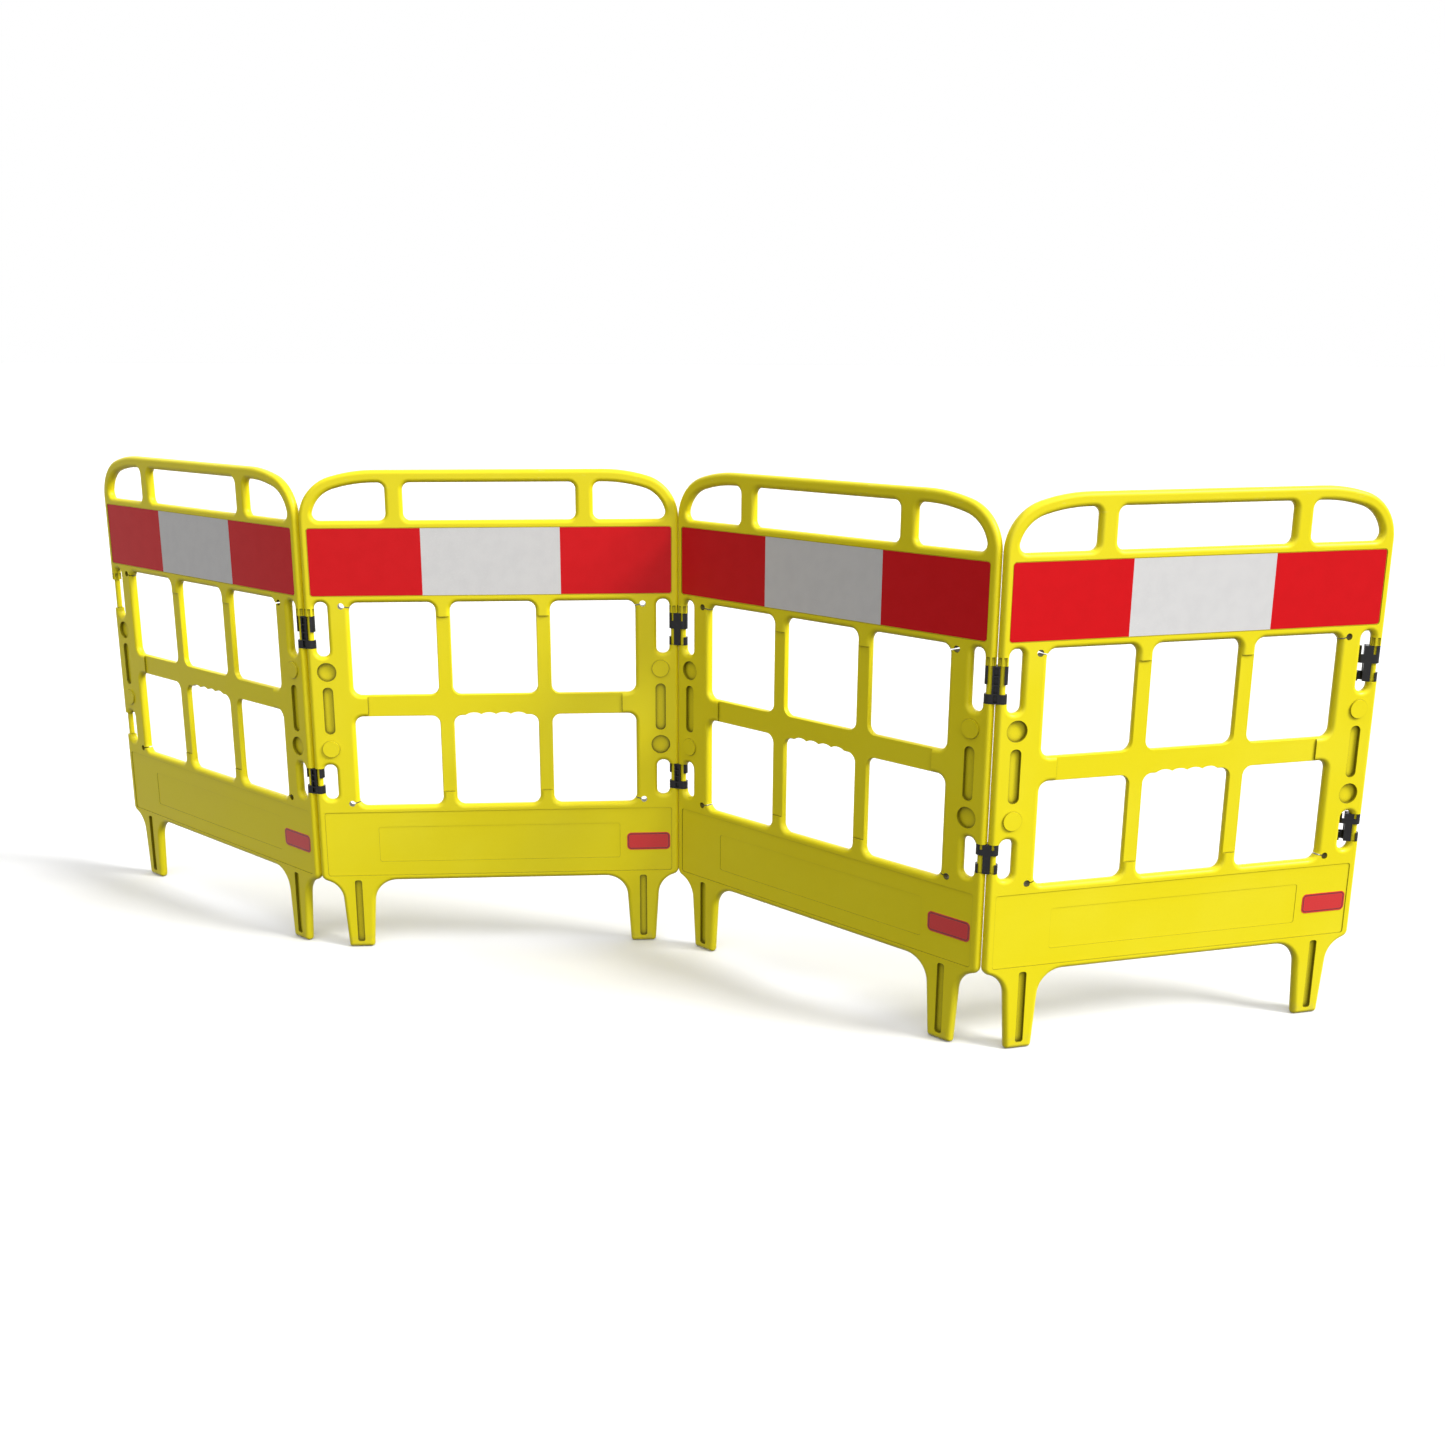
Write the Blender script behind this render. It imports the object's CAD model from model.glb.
import math

import bpy
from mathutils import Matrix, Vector


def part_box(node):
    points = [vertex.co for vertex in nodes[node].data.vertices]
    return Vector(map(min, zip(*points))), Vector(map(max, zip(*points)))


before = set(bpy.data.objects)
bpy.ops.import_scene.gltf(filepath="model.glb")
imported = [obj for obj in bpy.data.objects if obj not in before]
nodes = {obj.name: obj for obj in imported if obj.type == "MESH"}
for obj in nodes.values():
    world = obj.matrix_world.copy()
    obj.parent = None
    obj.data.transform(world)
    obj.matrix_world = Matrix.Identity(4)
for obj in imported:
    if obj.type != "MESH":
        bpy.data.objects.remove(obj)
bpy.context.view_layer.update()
GATES = (1, 2, 3, 4)
MM = 0.001


# ---------------------------------------------------------------- shader sums

class Value:
    """A socket in a finish, so that shader sums are written as plain Python."""

    def __init__(self, finish, socket):
        self.finish = finish
        self.socket = socket

    def sum(self, operation, first, second=None):
        inputs = {0: first}
        if second is not None:
            inputs[1] = second
        return self.finish.node("ShaderNodeMath", {"operation": operation}, inputs)

    def __add__(self, other):
        return self.sum("ADD", self, other)

    __radd__ = __add__

    def __sub__(self, other):
        return self.sum("SUBTRACT", self, other)

    def __rsub__(self, other):
        return self.sum("SUBTRACT", other, self)

    def __mul__(self, other):
        return self.sum("MULTIPLY", self, other)

    __rmul__ = __mul__

    def __truediv__(self, other):
        return self.sum("DIVIDE", self, other)

    def __abs__(self):
        return self.sum("ABSOLUTE", self)

    def ramp(self, low, high):
        """0 below low, 1 above high and a soft step between."""
        settings = {"interpolation_type": "SMOOTHSTEP"}
        return self.finish.node("ShaderNodeMapRange", settings,
                                {"Value": self, "From Min": low, "From Max": high})

    def wave(self):
        return self.sum("SINE", self)

    def larger(self, other):
        return self.sum("MAXIMUM", self, other)

    def root(self):
        return self.sum("SQRT", self)

    def part(self, axis):
        """One coordinate of a vector: X, Y or Z."""
        return self.finish.node("ShaderNodeSeparateXYZ", {}, {"Vector": self}, output=axis)


class Finish:
    """A material: one Principled shader and what varies over its surface."""

    def __init__(self, name, **plain):
        self.material = bpy.data.materials.new(name)
        self.material.use_nodes = True
        self.tree = self.material.node_tree
        self.shader = self.tree.nodes["Principled BSDF"]
        for word, number in plain.items():
            self.shader.inputs[word.replace("_", " ")].default_value = number

    def node(self, kind, settings=None, inputs=None, output=0):
        """Adds a node: its settings first, then values or links for its sockets."""
        made = self.tree.nodes.new(kind)
        for word, value in (settings or {}).items():
            setattr(made, word, value)
        for word, value in (inputs or {}).items():
            if isinstance(value, Value):
                self.tree.links.new(value.socket, made.inputs[word])
            else:
                made.inputs[word].default_value = value
        return Value(self, made.outputs[output])

    def drive(self, word, value):
        """Feeds one of the shader's sockets."""
        self.tree.links.new(value.socket, self.shader.inputs[word])

    def place(self):
        """The piece's own coordinates, in metres."""
        return self.node("ShaderNodeTexCoord", output="Object")

    def noise(self, where, scale, detail=2.0, roughness=0.5, stretch=None):
        """Soft clouds or grain from 0 to 1; scale is about how many there are to a metre."""
        if stretch is not None:
            where = self.node("ShaderNodeVectorMath", {"operation": "MULTIPLY"},
                              {0: where, 1: stretch})
        return self.node("ShaderNodeTexNoise", {"normalize": True},
                         {"Vector": where, "Scale": scale, "Detail": detail,
                          "Roughness": roughness})

    def crease(self, reach):
        """0 in the open, rising towards 1 deep in a corner or recess of the same piece."""
        settings = {"only_local": True, "samples": 12}
        return 1 - self.node("ShaderNodeAmbientOcclusion", settings, {"Distance": reach},
                             output="AO")

    def blend(self, factor, first, second):
        """A colour between two colours."""
        return self.node("ShaderNodeMix", {"data_type": "RGBA"},
                         {0: factor, 6: first, 7: second}, output=2)

    def bump(self, height, distance, strength=1.0):
        """Relief from a height in 0 to 1; distance is that height in metres."""
        self.drive("Normal", self.node("ShaderNodeBump", {}, {
            "Strength": strength, "Distance": distance, "Height": height}))

    def along_gate(self, origin, turn):
        """Coordinates from a point on a gate: X across it, Y through it and Z up."""
        shifted = self.node("ShaderNodeVectorMath", {"operation": "SUBTRACT"},
                            {0: self.place(), 1: origin})
        return self.node("ShaderNodeVectorRotate", {"rotation_type": "Z_AXIS"},
                         {"Vector": shifted, "Angle": -turn})


def rgba(red, green, blue):
    return (red, green, blue, 1.0)


def dress(node, finish):
    """Gives a CAD piece its finish in every material slot."""
    piece = nodes[node]
    if not piece.data.materials:
        piece.data.materials.append(finish.material)
    for slot in piece.material_slots:
        slot.material = finish.material


# ---------------------------------------------------------------- where the gates stand

def facing(index):
    """The middle of a gate's white sheeting and the gate's turn about the vertical."""
    low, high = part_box(f"white_sheeting_{index}")
    corners = [vertex.co for vertex in nodes[f"white_sheeting_{index}"].data.vertices]
    left = min(corners, key=lambda point: point.x)
    right = max(corners, key=lambda point: point.x)
    turn = math.atan2(right.y - left.y, right.x - left.x)
    return (low + high) / 2, turn


# ---------------------------------------------------------------- finishes

YELLOW = rgba(0.87, 0.74, 0.008)
PALE_YELLOW = rgba(0.90, 0.79, 0.03)
DULL_YELLOW = rgba(0.77, 0.64, 0.010)
SCUFF = rgba(0.93, 0.86, 0.30)
GROUND_DIRT = rgba(0.42, 0.36, 0.15)
CREASE_YELLOW = rgba(0.11, 0.09, 0.003)
# how far a crease's shade reaches, and the heights of the handled rail and of ground dirt
GATE_CREASE, CLIP_CREASE = 32 * MM, 6 * MM
RAIL_LOW, RAIL_TOP = 0.93, 1.0
DIRT_TOP = 0.035

# sheeting: its tone, its bright specks and its deeper cells
WHITE_SHEET = (rgba(0.73, 0.72, 0.71), rgba(0.92, 0.92, 0.92), rgba(0.62, 0.61, 0.61))
RED_SHEET = (rgba(0.70, 0.005, 0.009), rgba(0.80, 0.012, 0.018), rgba(0.60, 0.004, 0.007))
CELL_PITCH = 2.6 * MM
# the cells' rows slant at 60 degrees: its cosine and its sine
CELL_LEAN, CELL_RISE = 0.5, 0.866

CLIP_BLACK = rgba(0.016, 0.016, 0.018)
CLIP_RUBBED = rgba(0.034, 0.034, 0.037)
CLIP_HOLLOW = rgba(0.003, 0.003, 0.003)

PLATE_RED = rgba(0.66, 0.022, 0.022)
PLATE_DEEP_RED = rgba(0.52, 0.015, 0.016)
PLATE_LINE = rgba(0.02, 0.012, 0.012)
PLATE_HALF_WIDTH, PLATE_HALF_HEIGHT, PLATE_CORNER = 45.5 * MM, 19 * MM, 9 * MM
LINE_INSET = 3.2 * MM
LINE_HALF, LINE_FADE = 0.5 * MM, 1.0 * MM


def gate_plastic(index):
    """Moulded polyethylene: satin, finely grained, a little cloudy, deeper in the creases,
    with light scuffs on the top rail and a trace of dirt at the feet."""
    finish = Finish(f"moulded_yellow_{index}", IOR=1.5, Specular_IOR_Level=0.25)
    centre, turn = facing(index)
    turned = finish.along_gate((centre.x, centre.y, 0.0), turn)
    cloud = finish.noise(turned, scale=5.0, detail=3.0).ramp(0.35, 0.72)
    speckle = finish.noise(turned, scale=620.0, detail=1.0)
    colour = finish.blend(cloud * 0.45, YELLOW, PALE_YELLOW)
    colour = finish.blend(speckle.ramp(0.45, 0.75) * 0.16, colour, DULL_YELLOW)
    streak = finish.noise(turned, scale=26.0, detail=4.0, roughness=0.65,
                          stretch=(1.0, 1.0, 5.0))
    up = turned.part("Z")
    handled = up.ramp(RAIL_LOW, RAIL_TOP)
    scuffs = streak.ramp(0.60, 0.72) * handled
    colour = finish.blend(scuffs * 0.35, colour, SCUFF)
    dirt = finish.noise(turned, scale=60.0, detail=4.0).ramp(0.4, 0.7)
    grime = (1 - up.ramp(0.0, DIRT_TOP)) * dirt
    colour = finish.blend(grime * 0.30, colour, GROUND_DIRT)
    crease = finish.crease(GATE_CREASE).ramp(0.05, 0.62)
    colour = finish.blend(crease * 0.9, colour, CREASE_YELLOW)
    finish.drive("Base Color", colour)
    finish.drive("Roughness", 0.36 + cloud * 0.07 + scuffs * 0.12 + grime * 0.2)
    grain = finish.noise(turned, scale=900.0, detail=2.0) * 0.7 + speckle * 0.3
    finish.bump(grain, distance=0.22 * MM, strength=0.5)
    return finish


def sheeting(name, index, colours):
    """Retroreflective sheeting: satin over small cells, with bright specks."""
    tone, bright, deep = colours
    finish = Finish(f"{name}_{index}", IOR=1.5, Specular_IOR_Level=0.15)
    centre, turn = facing(index)
    turned = finish.along_gate(tuple(centre), turn)
    across, up = turned.part("X"), turned.part("Z")
    pace = 2 * math.pi / CELL_PITCH
    first = (across * (pace * CELL_LEAN) + up * (pace * CELL_RISE)).wave()
    second = (across * (pace * CELL_LEAN) - up * (pace * CELL_RISE)).wave()
    third = (across * pace).wave()
    cells = ((first + second + third) / 3).ramp(-0.35, 0.7)
    patches = finish.noise(turned, scale=34.0, detail=3.0)
    sparkle = finish.noise(turned, scale=700.0, detail=1.0).ramp(0.56, 0.78)
    colour = finish.blend(cells * 0.30 + patches.ramp(0.35, 0.7) * 0.25, tone, deep)
    colour = finish.blend(sparkle * 0.28, colour, bright)
    finish.drive("Base Color", colour)
    finish.drive("Roughness", 0.26 + patches * 0.12)
    finish.bump(cells * 0.6 + patches * 0.4, distance=0.10 * MM, strength=0.35)
    return finish


def clip_plastic():
    """Hard black nylon with a dry, slightly rubbed surface."""
    finish = Finish("clip_black", IOR=1.5, Specular_IOR_Level=0.2)
    where = finish.place()
    rubbed = finish.noise(where, scale=90.0, detail=4.0, roughness=0.6).ramp(0.5, 0.75)
    grain = finish.noise(where, scale=1400.0, detail=2.0)
    hollow = finish.crease(CLIP_CREASE).ramp(0.08, 0.5)
    open_black = finish.blend(rubbed * 0.6, CLIP_BLACK, CLIP_RUBBED)
    finish.drive("Base Color", finish.blend(hollow, open_black, CLIP_HOLLOW))
    finish.drive("Roughness", 0.34 + rubbed * 0.18)
    finish.bump(grain, distance=0.12 * MM, strength=0.4)
    return finish


def label_plate(index):
    """A blank printed plate: red, with a thin dark line inside its edge."""
    finish = Finish(f"blank_plate_{index}", Roughness=0.3, IOR=1.5)
    low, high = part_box(f"blank_label_{index}")
    turn = facing(index)[1]
    turned = finish.along_gate(tuple((low + high) / 2), turn)
    across, up = turned.part("X"), turned.part("Z")
    beyond = (abs(across) - (PLATE_HALF_WIDTH - PLATE_CORNER)).larger(0.0)
    above = (abs(up) - (PLATE_HALF_HEIGHT - PLATE_CORNER)).larger(0.0)
    inside = (beyond * beyond + above * above).root() - PLATE_CORNER
    line = 1 - abs(inside + LINE_INSET).ramp(LINE_HALF, LINE_FADE)
    print_grain = finish.noise(turned, scale=500.0, detail=2.0)
    ink = finish.blend(print_grain.ramp(0.4, 0.7) * 0.35, PLATE_RED, PLATE_DEEP_RED)
    finish.drive("Base Color", finish.blend(line, ink, PLATE_LINE))
    finish.drive("Roughness", 0.28 + print_grain * 0.1)
    finish.bump(print_grain, distance=0.06 * MM, strength=0.3)
    return finish


black = clip_plastic()
for index in GATES:
    dress(f"gate_{index}", gate_plastic(index))
    dress(f"white_sheeting_{index}", sheeting("white_sheeting", index, WHITE_SHEET))
    dress(f"red_sheeting_{index}", sheeting("red_sheeting", index, RED_SHEET))
    dress(f"blank_label_{index}", label_plate(index))
    for level in ("upper", "lower"):
        dress(f"{level}_clip_{index}", black)


# ---------------------------------------------------------------- floor, light, camera

def make_floor():
    """A plain pale floor, wide enough to run out to the horizon."""
    reach = 120.0
    mesh = bpy.data.meshes.new("floor")
    mesh.from_pydata([(-reach, -reach, 0), (reach, -reach, 0), (reach, reach, 0),
                      (-reach, reach, 0)], [], [(0, 1, 2, 3)])
    floor = bpy.data.objects.new("floor", mesh)
    bpy.context.scene.collection.objects.link(floor)
    paint = Finish("floor_paint", Roughness=0.9, Base_Color=rgba(0.9, 0.9, 0.9),
                   Specular_IOR_Level=0.2)
    mesh.materials.append(paint.material)
    floor.visible_diffuse = False
    floor.visible_glossy = False


def sun(name, strength, spread, from_right, height):
    """A soft lamp far away.  In degrees, spread is how wide it looks, from_right is how far
    to the right of the run's front it stands, and height is how far above the floor."""
    light = bpy.data.lights.new(name, "SUN")
    light.energy = strength
    light.angle = math.radians(spread)
    lamp = bpy.data.objects.new(name, light)
    bpy.context.scene.collection.objects.link(lamp)
    side, rise = math.radians(from_right), math.radians(height)
    towards = Vector((math.sin(side) * math.cos(rise), -math.cos(side) * math.cos(rise),
                      math.sin(rise)))
    lamp.rotation_euler = towards.to_track_quat("Z", "Y").to_euler()


def make_light():
    """A plain white surround that gives reflections but no soft light, a key light from
    the right, a wide soft fill from the front and a weaker one from behind."""
    world = bpy.data.worlds.new("studio")
    bpy.context.scene.world = world
    world.use_nodes = True
    world.node_tree.nodes["Background"].inputs["Color"].default_value = rgba(1, 1, 1)
    world.cycles_visibility.diffuse = False
    sun("key", strength=3.35, spread=20, from_right=86, height=38)
    sun("front_fill", strength=2.3, spread=110, from_right=20, height=42)
    sun("back_fill", strength=1.7, spread=120, from_right=185, height=45)
    bpy.context.scene.view_settings.view_transform = "Standard"


def make_camera():
    """From the front, a little to the right, at chest height."""
    camera = bpy.data.cameras.new("camera")
    camera.sensor_width = 36.0
    camera.lens = 36.488
    camera.shift_x = 0.0232
    camera.shift_y = 0.0050
    view = bpy.data.objects.new("camera", camera)
    bpy.context.scene.collection.objects.link(view)
    tilt_down, turn_left = 14.489, 16.963
    view.location = (0.9175, -2.6612, 1.2250)
    view.rotation_euler = (math.radians(90 - tilt_down), 0.0, math.radians(turn_left))
    bpy.context.scene.camera = view


make_floor()
make_light()
make_camera()
